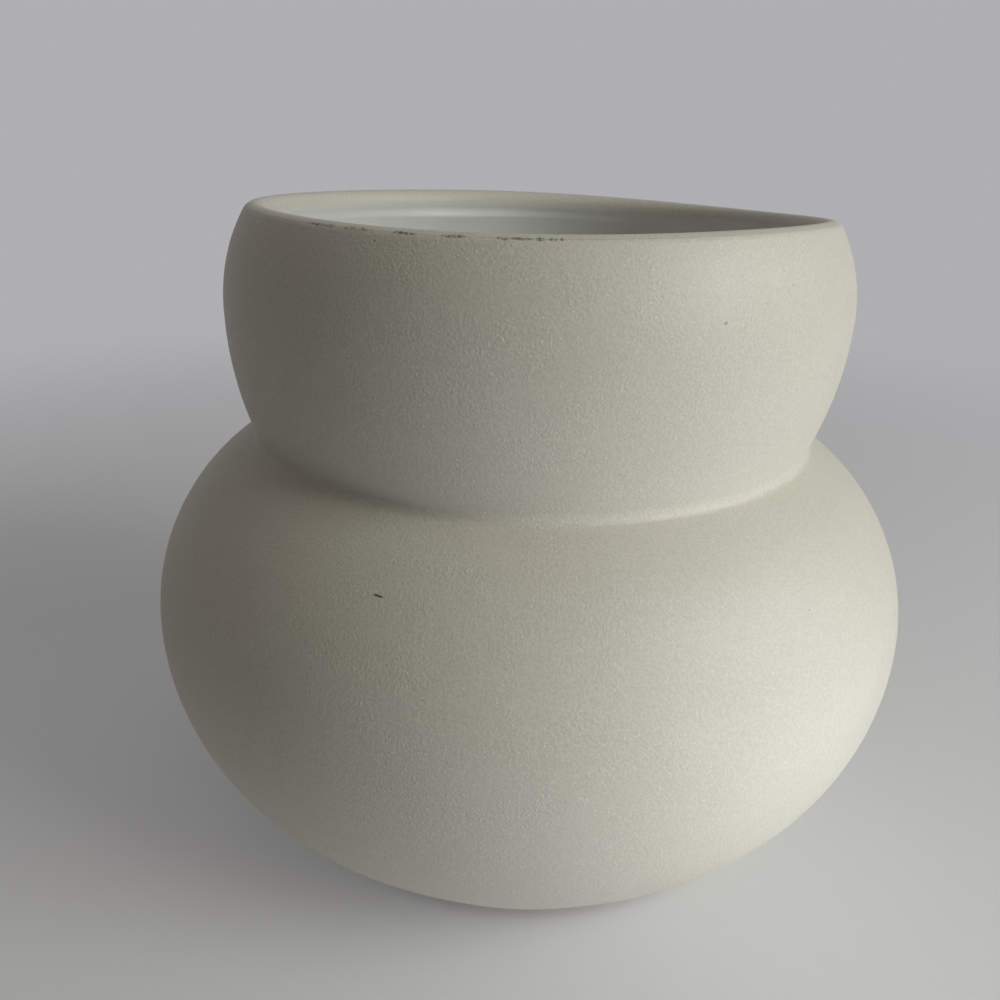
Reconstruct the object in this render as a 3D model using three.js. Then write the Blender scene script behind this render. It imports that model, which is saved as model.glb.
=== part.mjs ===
// Globe vase of two thrown stoneware sections, luted with slip at the waist and glazed inside and out.
// Millimetres, +Z up. The foot ring stands on z = 0 and the vase turns about the Z axis.
import * as THREE from 'three';

// Outside of the glazed vase: one radius, and the steps in and out from it
const BELLY_RADIUS = 82.5; // widest point of the lower globe
const TRIM_INSET = 16; // from the belly in to the top of the trimmed bevel
const WAIST_INSET = 23.5; // from the belly in to the waist, before its fillet
const COLLAR_SWELL = 5.7; // from the waist out to the widest point of the upper globe
const LIP_INSET = 7; // from the upper globe in to the crest of the lip

// Outside of the glazed vase: heights, each from the one below
const TRIM_RISE = 12.8; // top of the trimmed bevel, above the table
const BELLY_RISE = 37.9; // belly above the bevel
const SHOULDER_RISE = 38.3; // waist above the belly, before its fillet
const COLLAR_RISE = 27; // widest point of the upper globe above the waist
const LIP_RISE = 20.3; // crest of the lip above that, at its highest

// Wall, from the outside in
const EXTERIOR_GLAZE = 0.4;
const CLAY_WALL = 4.2;
const INTERIOR_GLAZE = 0.4;
const BOND_GAP = 0.1; // clearance between bonded layers
const WAIST_FILLET = 2; // rounding of the crease outside
const FLOOR_HEIGHT = 9; // glazed floor inside, above the table

// Foot ring and its recess
const FOOT_RING_WIDTH = 8; // flat of the ring that meets the table
const FOOT_CHAMFER = 0.8;
const RECESS_DEPTH = 3.5;
const RECESS_FILLET = 2;
const GLAZE_SETBACK = 3.5; // bare clay on the bevel, between the foot and the exterior glaze

// Luted joint at the waist, and the line on the lip where the glazes meet
const TONGUE_DEPTH = 1.6;
const SLIP_THICKNESS = 0.6;
const SEAM_OUTSET = 1.6; // glaze seam, outward from the crest of the lip
const SEAM_WIDTH = 0.8; // bare clay along the seam

// Facets
const TURN_STEPS = 36;
const GLOBE_FACET = THREE.MathUtils.degToRad(11);
const ROUND_FACET = THREE.MathUtils.degToRad(30); // on the crease, the nose of the lip and the recess
const FLOOR_STEPS = 4;

// Depths of the layers below the glazed outside
const CLAY_OUTSIDE = EXTERIOR_GLAZE + BOND_GAP;
const CLAY_INSIDE = CLAY_OUTSIDE + CLAY_WALL;
const LINING_BACK = CLAY_INSIDE + BOND_GAP;
const FULL_WALL = LINING_BACK + INTERIOR_GLAZE;

// A point of a profile: its radius from the axis, and its height.
function point(radius, height) {
  return new THREE.Vector2(radius, height);
}

function polar(centre, radius, angle) {
  return point(centre.x + radius * Math.cos(angle), centre.y + radius * Math.sin(angle));
}

// Angle of the way from one point to another, from -180 to 180 degrees.
function heading(from, to) {
  return Math.atan2(to.y - from.y, to.x - from.x);
}

// Points along an arc, with both ends. Layers that share their angles share their facets.
function arcPoints(centre, radius, from, to, facet) {
  const steps = Math.max(1, Math.ceil(Math.abs(to - from) / facet));
  const turn = (to - from) / steps;
  return Array.from({ length: steps + 1 }, (_, i) => polar(centre, radius, from + turn * i));
}

// An arc that is upright at a globe's widest point and passes a point further in, above or below it.
function globeArc(widestRadius, widestZ, inset, offset) {
  const radius = (inset * inset + offset * offset) / (2 * inset);
  return { centre: point(widestRadius - radius, widestZ), radius };
}

// Stations and arcs of the outside
const bellyZ = TRIM_RISE + BELLY_RISE;
const collarZ = bellyZ + SHOULDER_RISE + COLLAR_RISE;
const collarRadius = BELLY_RADIUS - WAIST_INSET + COLLAR_SWELL;
const underside = globeArc(BELLY_RADIUS, bellyZ, TRIM_INSET, BELLY_RISE);
const shoulder = globeArc(BELLY_RADIUS, bellyZ, WAIST_INSET, SHOULDER_RISE);
const collar = globeArc(collarRadius, collarZ, COLLAR_SWELL, COLLAR_RISE);

// The lip's arc carries the middle of the wall up to the centre of the lip's rounded nose.
const noseRadius = FULL_WALL / 2;
const noseCentre = point(collarRadius - LIP_INSET, collarZ + LIP_RISE - noseRadius);
const lipMiddle = globeArc(
  collarRadius - noseRadius,
  collarZ,
  LIP_INSET - noseRadius,
  LIP_RISE - noseRadius,
);
const lip = { centre: lipMiddle.centre, radius: lipMiddle.radius + noseRadius };
const noseStart = heading(lip.centre, noseCentre);
const noseEnd = noseStart + Math.PI;
const seamAngle = Math.acos(SEAM_OUTSET / noseRadius);
const seamHalf = SEAM_WIDTH / 2 / noseRadius;

// Centre of the fillet that touches two arcs from outside, on the side away from the axis.
function filletBetween(lower, upper, fillet) {
  const lowerReach = lower.radius + fillet;
  const upperReach = upper.radius + fillet;
  const span = lower.centre.distanceTo(upper.centre);
  const along = (span * span + lowerReach * lowerReach - upperReach * upperReach) / (2 * span);
  const bearing = heading(lower.centre, upper.centre) - Math.acos(along / lowerReach);
  return polar(lower.centre, lowerReach, bearing);
}
const creaseCentre = filletBetween(shoulder, collar, WAIST_FILLET);
const shoulderEnd = heading(shoulder.centre, creaseCentre);
const collarStart = heading(collar.centre, creaseCentre);

// The bevel runs on straight from the underside's arc. Its points lie at a depth and a distance down it.
const trimAngle = heading(underside.centre, point(BELLY_RADIUS - TRIM_INSET, TRIM_RISE));
const downBevel = point(Math.sin(trimAngle), -Math.cos(trimAngle));

function bevelPoint(depth, distance) {
  return polar(underside.centre, underside.radius - depth, trimAngle).addScaledVector(downBevel, distance);
}

function distanceDownBevel(depth, height) {
  return (height - bevelPoint(depth, 0).y) / downBevel.y;
}

// The wall's surface at a depth below the glazed outside, in stretches from the bevel up to the lip.
function bellyWall(depth) {
  return [
    ...arcPoints(underside.centre, underside.radius - depth, trimAngle, 0, GLOBE_FACET),
    ...arcPoints(shoulder.centre, shoulder.radius - depth, 0, shoulderEnd, GLOBE_FACET).slice(1),
  ];
}

function collarWall(depth) {
  return [
    ...arcPoints(collar.centre, collar.radius - depth, collarStart, 0, GLOBE_FACET),
    ...arcPoints(lip.centre, lip.radius - depth, 0, noseStart, GLOBE_FACET).slice(1),
  ];
}

// The crease, without its ends on the globes and on the joint.
function creaseStretch(depth, from, to) {
  return arcPoints(creaseCentre, WAIST_FILLET + depth, from, to, ROUND_FACET).slice(1, -1);
}

function lowerCrease(depth) {
  return creaseStretch(depth, shoulderEnd + Math.PI, Math.PI);
}

function upperCrease(depth) {
  return creaseStretch(depth, Math.PI, collarStart + Math.PI);
}

// The crease's surface at a depth, at a height near its deepest point.
function creasePoint(depth, height) {
  const radius = WAIST_FILLET + depth;
  return polar(creaseCentre, radius, Math.PI - Math.asin((height - creaseCentre.y) / radius));
}

function wholeWall(depth) {
  return [
    ...bellyWall(depth),
    ...lowerCrease(depth),
    creasePoint(depth, creaseCentre.y),
    ...upperCrease(depth),
    ...collarWall(depth),
  ];
}

// The floor of a layer inside, from the axis out and up a curve, without its end on the wall.
function floorCurve(depth) {
  const height = FLOOR_HEIGHT - FULL_WALL + depth;
  const slope = distanceDownBevel(depth, height);
  const corner = bevelPoint(depth, slope);
  const edge = point(corner.x - slope, height);
  const sweep = new THREE.QuadraticBezierCurve(edge, corner, bevelPoint(depth, 0));
  return [point(0, height), ...sweep.getPoints(FLOOR_STEPS).slice(0, -1)];
}

// The foot ring, from the middle of its recess to the foot's outer edge.
function footRing() {
  const footRadius = bevelPoint(CLAY_OUTSIDE, distanceDownBevel(CLAY_OUTSIDE, 0)).x;
  const recessRadius = footRadius - FOOT_RING_WIDTH - 2 * FOOT_CHAMFER;
  const cove = point(recessRadius - RECESS_FILLET, RECESS_DEPTH - RECESS_FILLET);
  return [
    point(0, RECESS_DEPTH),
    ...arcPoints(cove, RECESS_FILLET, Math.PI / 2, 0, ROUND_FACET),
    point(recessRadius, FOOT_CHAMFER),
    point(recessRadius + FOOT_CHAMFER, 0),
    point(footRadius - FOOT_CHAMFER, 0),
    bevelPoint(CLAY_OUTSIDE, distanceDownBevel(CLAY_OUTSIDE, FOOT_CHAMFER)),
  ];
}

// A V across the clay at the waist, from outside to inside, a height above the crease's deepest point.
function jointVee(above) {
  const height = creaseCentre.y + above;
  const outer = creasePoint(CLAY_OUTSIDE, height);
  const inner = creasePoint(CLAY_INSIDE, height);
  return [outer, point((outer.x + inner.x) / 2, height - TONGUE_DEPTH), inner];
}
const slipHalf = SLIP_THICKNESS / 2;
const sectionHalf = slipHalf + BOND_GAP;

// A solid turned about Z from a profile that runs round it with the material on its left.
function turned(name, profile, material) {
  const geometry = new THREE.LatheGeometry(profile, TURN_STEPS);
  geometry.rotateX(Math.PI / 2);
  const mesh = new THREE.Mesh(geometry, material);
  mesh.name = name;
  return mesh;
}

// A profile that stands off the axis is closed on itself.
function ring(profile) {
  return [...profile, profile[0].clone()];
}

function lowerGlobe() {
  const clay = new THREE.MeshStandardMaterial({ color: 0x8a6a50, roughness: 0.85, metalness: 0 });
  const profile = [
    ...footRing(),
    ...bellyWall(CLAY_OUTSIDE),
    ...lowerCrease(CLAY_OUTSIDE),
    ...jointVee(-sectionHalf),
    ...lowerCrease(CLAY_INSIDE).reverse(),
    ...bellyWall(CLAY_INSIDE).reverse(),
    ...floorCurve(CLAY_INSIDE).reverse(),
  ];
  return turned('lower_globe', profile, clay);
}

function upperGlobe() {
  const clay = new THREE.MeshStandardMaterial({ color: 0x8a6a50, roughness: 0.85, metalness: 0 });
  const profile = [
    ...jointVee(sectionHalf).reverse(),
    ...upperCrease(CLAY_OUTSIDE),
    ...collarWall(CLAY_OUTSIDE),
    ...arcPoints(noseCentre, CLAY_WALL / 2, noseStart, noseEnd, ROUND_FACET).slice(1, -1),
    ...collarWall(CLAY_INSIDE).reverse(),
    ...upperCrease(CLAY_INSIDE).reverse(),
  ];
  return turned('upper_globe', ring(profile), clay);
}

function waistSlip() {
  const slip = new THREE.MeshStandardMaterial({ color: 0x7d5f48, roughness: 0.9, metalness: 0 });
  const profile = [...jointVee(-slipHalf).reverse(), ...jointVee(slipHalf)];
  return turned('waist_slip', ring(profile), slip);
}

// The exterior glaze at a depth, from its edge on the bevel to its edge at the seam on the lip.
function exteriorSurface(depth) {
  const edge = distanceDownBevel(CLAY_OUTSIDE, 0) - GLAZE_SETBACK;
  return [
    bevelPoint(depth, edge),
    ...wholeWall(depth),
    ...arcPoints(noseCentre, noseRadius - depth, noseStart, seamAngle - seamHalf, ROUND_FACET).slice(1),
  ];
}

function exteriorGlaze() {
  const satin = new THREE.MeshStandardMaterial({ color: 0xd6d2c0, roughness: 0.55, metalness: 0 });
  const profile = [...exteriorSurface(0), ...exteriorSurface(EXTERIOR_GLAZE).reverse()];
  return turned('exterior_glaze', ring(profile), satin);
}

// The lining at a depth, from the axis over the floor and up the wall to its edge at the seam on the lip.
function liningSurface(depth) {
  return [
    ...floorCurve(depth),
    ...wholeWall(depth),
    ...arcPoints(noseCentre, depth - noseRadius, noseEnd, seamAngle + seamHalf, ROUND_FACET).slice(1),
  ];
}

function interiorGlaze() {
  const gloss = new THREE.MeshStandardMaterial({ color: 0xe2dcc8, roughness: 0.18, metalness: 0 });
  const profile = [...liningSurface(LINING_BACK), ...liningSurface(FULL_WALL).reverse()];
  return turned('interior_glaze', profile, gloss);
}

const globeVase = new THREE.Group();
globeVase.add(lowerGlobe(), upperGlobe(), waistSlip(), exteriorGlaze(), interiorGlaze());

export default globeVase;
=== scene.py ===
"""Globe vase of two thrown stoneware sections, laid out as a Blender add-on.

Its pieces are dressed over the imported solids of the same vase, in metres.
"""
import math

import bpy
import numpy as np
from bpy.props import FloatProperty, FloatVectorProperty, PointerProperty
from mathutils import Matrix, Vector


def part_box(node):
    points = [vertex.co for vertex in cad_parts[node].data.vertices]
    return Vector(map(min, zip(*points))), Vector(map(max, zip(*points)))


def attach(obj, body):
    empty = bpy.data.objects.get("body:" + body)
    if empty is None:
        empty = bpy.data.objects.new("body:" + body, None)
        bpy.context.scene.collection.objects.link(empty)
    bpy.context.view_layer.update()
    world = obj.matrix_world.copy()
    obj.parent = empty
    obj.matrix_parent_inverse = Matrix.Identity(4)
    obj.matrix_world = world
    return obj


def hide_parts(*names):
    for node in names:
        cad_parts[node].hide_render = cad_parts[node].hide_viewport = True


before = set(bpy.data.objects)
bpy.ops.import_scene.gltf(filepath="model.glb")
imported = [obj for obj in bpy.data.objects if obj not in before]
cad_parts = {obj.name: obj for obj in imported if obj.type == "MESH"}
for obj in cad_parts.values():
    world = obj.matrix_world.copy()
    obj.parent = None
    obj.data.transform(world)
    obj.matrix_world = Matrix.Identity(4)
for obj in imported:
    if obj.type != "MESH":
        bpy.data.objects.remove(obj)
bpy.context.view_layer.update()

bl_info = {
    "name": "Globe vase",
    "version": (1, 0, 0),
    "blender": (4, 5, 0),
    "location": "3D View > Sidebar > Globe vase",
    "description": "Thrown and luted stoneware vase with a satin glaze outside and a gloss glaze inside",
    "category": "Add Mesh",
}

MILLIMETRE = 0.001

# Grids: angles in a full turn, and steps along each stretch of the wall in section
OUTSIDE_TURN = 320
LINING_TURN = 256
CLAY_TURN = 192
STEPS = {
    "bevel": 10, "under": 44, "shoulder": 40, "crease": 16, "collar": 34, "lip": 24, "nose": 10, "floor": 24,
}
FOOT_POINTS = 9
# Share of those steps on faces that stay hidden, and on the lining's lip
HIDDEN_DENSITY = 0.4
LINING_LIP = 3.0
# Edges sharper than this are shaded as edges
SHARP_ANGLE = math.radians(35.0)

# The wheel's rings, in a fine and a coarse set: share of the depth, rate against the pitch, and drift
FINE_SHARE = 0.3
FINE_DRIFT = 0.7
COARSE_SHARE = 0.2
COARSE_RATE = 0.57
COARSE_DRIFT = 1.1
# Radius inside which the rings fade out
RING_CORE = 0.03
# Waves of the satin glaze's lower edge: how many in a turn, and where each starts
EDGE_WAVES = ((2.0, 0.6), (5.0, 0.0), (9.0, 2.0))

# Floor disc: size, grid, and the distances over which it fades out
FLOOR_RADIUS = 1.2
FLOOR_RINGS = 24
FLOOR_TURN = 96
FLOOR_FADE = (0.16, 0.6)
FLOOR_SPECKLE_SCALE = 900.0
FLOOR_SPECKLE_TONE = 0.985

# The photograph's camera: place, angles in degrees, and lens in millimetres
CAMERA_PLACE = (0.0, -0.21498, 0.15332)
CAMERA_PITCH = 21.24
CAMERA_YAW = -1.751
CAMERA_ROLL = 1.009
SENSOR_WIDTH = 36.0
FOCAL_LENGTH = 36.0
NEAREST_SEEN = 0.005

# Square soft lamps: watts, side, distance from the vase's middle, azimuth from the front to the right,
# elevation and width of the beam in degrees, and colour. Only the key lamps are mirrored in the glazes.
LAMPS = {
    "Key": (3.6, 0.45, 0.9, 62.0, 25.0, 180.0, (0.98, 1.0, 0.95)),
    "Key edge": (1.15, 0.45, 0.9, 80.0, 25.0, 180.0, (0.9, 0.97, 1.0)),
    "Low": (0.042, 0.06, 0.22, 37.0, -16.0, 90.0, (0.84, 0.87, 1.0)),
    "Top": (1.65, 1.2, 0.9, 0.0, 84.0, 180.0, (1.0, 0.94, 0.89)),
    "Left": (0.15, 0.8, 0.9, -80.0, 25.0, 180.0, (1.0, 0.85, 0.6)),
    "Rear": (0.2, 0.8, 0.9, 145.0, 45.0, 180.0, (0.92, 0.86, 1.0)),
}
LAMP_AIM = (0.0, 0.0, 0.065)

BLACK = (0.0, 0.0, 0.0, 1.0)
WHITE = (1.0, 1.0, 1.0, 1.0)
# Name under which a glaze's mesh carries each point's distance from the seam on the lip
SEAM_DISTANCE = "from_seam"


def size(name, description, default):
    """A length in metres."""
    return FloatProperty(name=name, description=description, default=default, unit="LENGTH", precision=5)


def sizes(name, description, default):
    """Three lengths in metres."""
    return FloatVectorProperty(
        name=name, description=description, default=default, unit="LENGTH", size=3, precision=5
    )


def degrees(name, description, default):
    """An angle, given in degrees."""
    return FloatProperty(name=name, description=description, default=math.radians(default), subtype="ANGLE")


def colour(name, description, default):
    """A linear colour without alpha."""
    return FloatVectorProperty(
        name=name, description=description, default=default, subtype="COLOR", size=3, min=0.0, max=1.0
    )


def number(name, description, default):
    """A plain number."""
    return FloatProperty(name=name, description=description, default=default, precision=4)


class VaseForm(bpy.types.PropertyGroup):
    """Sizes of the wall, the foot and the joints."""

    belly_radius: size("Belly radius", "Widest point of the lower globe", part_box("exterior_glaze")[1].x)
    trim_inset: size("Trim inset", "From the belly in to the top of the trimmed bevel", 0.016)
    waist_inset: size("Waist inset", "From the belly in to the waist, before its fillet", 0.0235)
    collar_swell: size("Collar swell", "From the waist out to the upper globe's widest point", 0.0057)
    lip_inset: size("Lip inset", "From the upper globe in to the crest of the lip", 0.007)
    trim_rise: size("Trim rise", "Top of the trimmed bevel above the table", 0.0128)
    belly_rise: size("Belly rise", "Belly above the bevel", 0.0379)
    shoulder_rise: size("Shoulder rise", "Waist above the belly, before its fillet", 0.0383)
    collar_rise: size("Collar rise", "Upper globe's widest point above the waist", 0.027)
    lip_rise: size("Lip rise", "Mean height of the lip's crest above the upper globe's widest point", 0.0189)
    exterior_glaze: size("Glaze outside", "Thickness of the satin glaze", 0.0004)
    clay_wall: size("Clay wall", "Thickness of the clay", 0.0042)
    interior_glaze: size("Glaze inside", "Thickness of the gloss glaze", 0.0004)
    bond_gap: size("Bond gap", "Clearance between bonded layers", 0.0001)
    waist_fillet: size("Waist fillet", "Rounding of the crease outside", 0.002)
    floor_height: size("Floor height", "Glazed floor inside, above the table", 0.009)
    foot_ring_width: size("Foot ring width", "Flat of the ring that meets the table", 0.008)
    foot_chamfer: size("Foot chamfer", "Broken edges of the foot ring", 0.0008)
    recess_depth: size("Recess depth", "Hollow under the foot", 0.0035)
    recess_fillet: size("Recess fillet", "Rounding inside the hollow", 0.002)
    glaze_setback: size("Glaze setback", "Bare clay on the bevel, below the satin glaze", 0.0035)
    tongue_depth: size("Tongue depth", "Depth of the V at the luted joint", 0.0016)
    slip_thickness: size("Slip thickness", "Slip between the two sections", 0.0006)
    seam_outset: size("Seam outset", "Line where the glazes meet, outward from the lip's crest", 0.0016)
    seam_gap: size("Seam gap", "Hairline between the two glazes on the lip", 0.00003)
    edge_from_seam: size("Gloss edge", "Thick edge of the gloss glaze, from the seam over the lip", 0.00505)
    edge_height: size("Gloss edge height", "How far that edge stands out from the wall", 0.0011)
    edge_width: size("Gloss edge width", "Width of the step up to that edge", 0.0012)
    edge_fade: size("Gloss edge fade", "Where the glaze is even again, from the seam", 0.018)


class VaseHand(bpy.types.PropertyGroup):
    """Unevenness that throwing and joining by hand left."""

    lean: degrees("Lean", "Lean of the upper globe towards +X", 1.11)
    lip_cosines: sizes(
        "Lip cosines", "Rise of the lip with the cosine of 1, 2 and 3 times the angle",
        (-0.00087, 0.00007, -0.00007),
    )
    lip_sines: sizes(
        "Lip sines", "Rise of the lip with the sine of 1, 2 and 3 times the angle",
        (-0.00139, -0.00049, -0.00031),
    )
    ring_depth: size("Ring depth", "Depth of the faint rings from the turning wheel", 0.00002)
    ring_pitch: size("Ring pitch", "Height from one ring to the next", 0.0056)
    glaze_waver: size("Glaze waver", "Waver of the satin glaze's lower edge", 0.0004)
    edge_angle: degrees("Gloss edge angle", "Where round the vase the gloss glaze's edge is thickest", 114.0)
    edge_reach: degrees("Gloss edge reach", "How far round that thick stretch reaches to each side", 20.0)
    edge_least: number("Gloss edge elsewhere", "Share of that edge's height left all round", 0.22)


class VaseLook(bpy.types.PropertyGroup):
    """Colours, gloss and relief of the finishes."""

    satin: colour("Satin glaze", "Ivory of the glaze outside", (0.73, 0.70, 0.60))
    satin_thin: colour("Satin glaze, thin", "Where that glaze is a little thinner", (0.715, 0.684, 0.582))
    satin_roughness: number("Satin roughness", "Mean roughness of the glaze outside", 0.52)
    grain: size("Grain", "Width of the sandy grains in the satin glaze", 0.0005)
    grain_height: size("Grain height", "Height of the sandy grains", 0.00006)
    fleck: colour("Fleck", "Iron flecks in the satin glaze", (0.05, 0.042, 0.032))
    gloss: colour("Gloss glaze", "Ivory of the glaze inside", (0.895, 0.89, 0.865))
    gloss_roughness: number("Gloss roughness", "Mean roughness of the glaze inside", 0.22)
    gloss_height: size("Gloss height", "Height of the gloss glaze's soft waves", 0.00006)
    clay: colour("Clay", "Bare fired stoneware", (0.36, 0.24, 0.155))
    grog: colour("Grog", "Grains in the clay", (0.52, 0.40, 0.29))
    clay_height: size("Clay height", "Height of the clay's grains and trimming lines", 0.00004)
    slip: colour("Slip", "Fired slip in the joint", (0.30, 0.20, 0.135))


class VaseStage(bpy.types.PropertyGroup):
    """Floor, backdrop and light."""

    floor: colour("Floor", "Pale floor", (0.92, 0.92, 0.92))
    backdrop: colour("Backdrop", "Pale colour behind the vase", (0.43, 0.43, 0.45))
    fill: number("Fill", "Strength of the even light from all round", 0.015)
    floor_lift: number("Floor lift", "Share of the backdrop's tone where the floor is seen", 0.3)
    lamps: number("Lamps", "Level of all the lamps", 1.0)


def settings(context):
    """The three groups of settings that shape and dress the vase."""
    scene = context.scene
    return scene.vase_form, scene.vase_hand, scene.vase_look


# Profiles in section: rows of radius and height


def polar(centre, radius, angles):
    """Points on a circle: centre + radius * (cos a, sin a) for each angle a."""
    return np.stack([centre[0] + radius * np.cos(angles), centre[1] + radius * np.sin(angles)], axis=-1)


def eased(share):
    """t^2 (3 - 2 t), with t held to 0..1."""
    held = np.clip(share, 0.0, 1.0)
    return held * held * (3.0 - 2.0 * held)


def heading(tail, tip):
    """Angle of the way from one point to another."""
    return math.atan2(tip[1] - tail[1], tip[0] - tail[0])


def joined(*stretches):
    """One profile from stretches that meet end to end, with each shared point kept once."""
    return np.concatenate([stretches[0]] + [stretch[1:] for stretch in stretches[1:]])


def globe_arc(widest_radius, widest_height, inset, offset):
    """An arc upright at a globe's widest point, which passes a point further in, above or below it.

    Its radius is (inset^2 + offset^2) / (2 * inset), and its centre lies level with the widest point.
    """
    radius = (inset * inset + offset * offset) / (2.0 * inset)
    return np.array([widest_radius - radius, widest_height]), radius


class Wall:
    """The wall in section: arcs that every layer follows at its own depth below the glazed outside.

    At depth d a bulging arc has its radius less d, and the hollow crease at the waist its radius plus d.
    """

    def __init__(self, form):
        self.form = form
        self.clay_outside = form.exterior_glaze + form.bond_gap
        self.clay_inside = self.clay_outside + form.clay_wall
        self.lining_back = self.clay_inside + form.bond_gap
        self.full = self.lining_back + form.interior_glaze
        belly_height = form.trim_rise + form.belly_rise
        collar_height = belly_height + form.shoulder_rise + form.collar_rise
        collar_radius = form.belly_radius - form.waist_inset + form.collar_swell
        self.under = globe_arc(form.belly_radius, belly_height, form.trim_inset, form.belly_rise)
        self.shoulder = globe_arc(form.belly_radius, belly_height, form.waist_inset, form.shoulder_rise)
        self.collar = globe_arc(collar_radius, collar_height, form.collar_swell, form.collar_rise)
        self.nose_radius = self.full / 2.0
        self.crest_height = collar_height + form.lip_rise
        self.nose = np.array([collar_radius - form.lip_inset, self.crest_height - self.nose_radius])
        centre, radius = globe_arc(
            collar_radius - self.nose_radius, collar_height,
            form.lip_inset - self.nose_radius, form.lip_rise - self.nose_radius,
        )
        self.lip = centre, radius + self.nose_radius
        self.nose_start = heading(centre, self.nose)
        self.nose_end = self.nose_start + math.pi
        self.seam = math.acos(form.seam_outset / self.nose_radius)
        self.seam_half = form.seam_gap / 2.0 / self.nose_radius
        self.crease = self.fillet_centre(form.waist_fillet)
        self.shoulder_end = heading(self.shoulder[0], self.crease)
        self.collar_start = heading(self.collar[0], self.crease)
        self.trim = heading(self.under[0], (form.belly_radius - form.trim_inset, form.trim_rise))
        self.down_bevel = np.array([math.sin(self.trim), -math.cos(self.trim)])
        self.glaze_edge = self.distance_down_bevel(self.clay_outside, 0.0) - form.glaze_setback

    def fillet_centre(self, fillet):
        """Centre of the circle that touches the shoulder's and the collar's arcs from outside."""
        (lower, lower_radius), (upper, upper_radius) = self.shoulder, self.collar
        lower_reach = lower_radius + fillet
        upper_reach = upper_radius + fillet
        span = math.dist(lower, upper)
        along = (span * span + lower_reach * lower_reach - upper_reach * upper_reach) / (2.0 * span)
        return polar(lower, lower_reach, heading(lower, upper) - math.acos(along / lower_reach))

    def arc(self, stretch, centre, radius, start, end, density):
        """Evenly spaced points of one stretch, from one angle to another."""
        count = max(2, round(STEPS[stretch] * density)) + 1
        return polar(centre, radius, np.linspace(start, end, count))

    def belly_wall(self, depth, density):
        """From the top of the bevel, over the belly, to the lower end of the crease."""
        (under, under_radius), (shoulder, shoulder_radius) = self.under, self.shoulder
        return joined(
            self.arc("under", under, under_radius - depth, self.trim, 0.0, density),
            self.arc("shoulder", shoulder, shoulder_radius - depth, 0.0, self.shoulder_end, density),
        )

    def lower_crease(self, depth, density):
        """From the shoulder to the deepest point of the crease."""
        radius = self.form.waist_fillet + depth
        return self.arc("crease", self.crease, radius, self.shoulder_end + math.pi, math.pi, density / 2.0)

    def upper_crease(self, depth, density):
        """From the deepest point of the crease to the collar."""
        radius = self.form.waist_fillet + depth
        return self.arc("crease", self.crease, radius, math.pi, self.collar_start + math.pi, density / 2.0)

    def crease_point(self, depth, height):
        """Point of the crease at a height near its deepest point."""
        radius = self.form.waist_fillet + depth
        return polar(self.crease, radius, math.pi - math.asin((height - self.crease[1]) / radius))

    def collar_wall(self, depth, density, lip_density=1.0):
        """From the upper end of the crease to the start of the lip's rounded nose."""
        (collar, collar_radius), (lip, lip_radius) = self.collar, self.lip
        return joined(
            self.arc("collar", collar, collar_radius - depth, self.collar_start, 0.0, density),
            self.arc("lip", lip, lip_radius - depth, 0.0, self.nose_start, density * lip_density),
        )

    def whole(self, depth, density, lip_density=1.0):
        """From the top of the bevel to the lip's nose."""
        return joined(
            self.belly_wall(depth, density), self.lower_crease(depth, density),
            self.upper_crease(depth, density), self.collar_wall(depth, density, lip_density),
        )

    def bevel_point(self, depth, distance):
        """Point at a distance down the bevel, which runs straight on from the underside's arc."""
        return polar(self.under[0], self.under[1] - depth, self.trim) + self.down_bevel * distance

    def distance_down_bevel(self, depth, height):
        """How far down the bevel a height is reached."""
        return (height - self.bevel_point(depth, 0.0)[1]) / self.down_bevel[1]

    def bevel(self, depth, distance, density):
        """Straight stretch from a distance down the bevel to its top."""
        share = np.linspace(1.0, 0.0, max(1, round(STEPS["bevel"] * density)) + 1)
        return self.bevel_point(depth, 0.0) + self.down_bevel * distance * share[:, None]

    def floor(self, depth, density):
        """The floor inside, level from the axis and then up a curve to the top of the bevel.

        The curve is a quadratic Bezier, (1-s)^2 a + 2 s (1-s) b + s^2 c, whose middle point b is where the
        floor's level meets the line of the bevel.
        """
        height = self.form.floor_height - self.full + depth
        slope = self.distance_down_bevel(depth, height)
        corner = self.bevel_point(depth, slope)
        edge = np.array([corner[0] - slope, height])
        steps = max(4, round(STEPS["floor"] * density))
        level = np.linspace([0.0, height], edge, steps // 2 + 1)
        share = np.linspace(0.0, 1.0, steps + 1)[:, None]
        rest = 1.0 - share
        top = self.bevel_point(depth, 0.0)
        rise = rest**2 * edge + 2.0 * share * rest * corner + share**2 * top
        return joined(level, rise)

    def foot(self):
        """The foot ring, from the middle of its hollow to its outer edge."""
        form = self.form
        outside = self.clay_outside
        foot_radius = self.bevel_point(outside, self.distance_down_bevel(outside, 0.0))[0]
        hollow = foot_radius - form.foot_ring_width - 2.0 * form.foot_chamfer
        cove = np.array([hollow - form.recess_fillet, form.recess_depth - form.recess_fillet])
        level = np.linspace([0.0, form.recess_depth], [cove[0], form.recess_depth], FOOT_POINTS)
        rounding = polar(cove, form.recess_fillet, np.linspace(math.pi / 2.0, 0.0, FOOT_POINTS))
        edges = np.array([
            [hollow, form.foot_chamfer],
            [hollow + form.foot_chamfer, 0.0],
            [foot_radius - form.foot_chamfer, 0.0],
            self.bevel_point(outside, self.distance_down_bevel(outside, form.foot_chamfer)),
        ])
        return np.concatenate([level[:-1], rounding, edges])

    def vee(self, above):
        """A V across the clay, from outside in, that starts at a height above the crease's deepest point."""
        height = self.crease[1] + above
        outer = self.crease_point(self.clay_outside, height)
        inner = self.crease_point(self.clay_inside, height)
        valley = [(outer[0] + inner[0]) / 2.0, height - self.form.tongue_depth]
        return np.array([outer, valley, inner])

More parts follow.
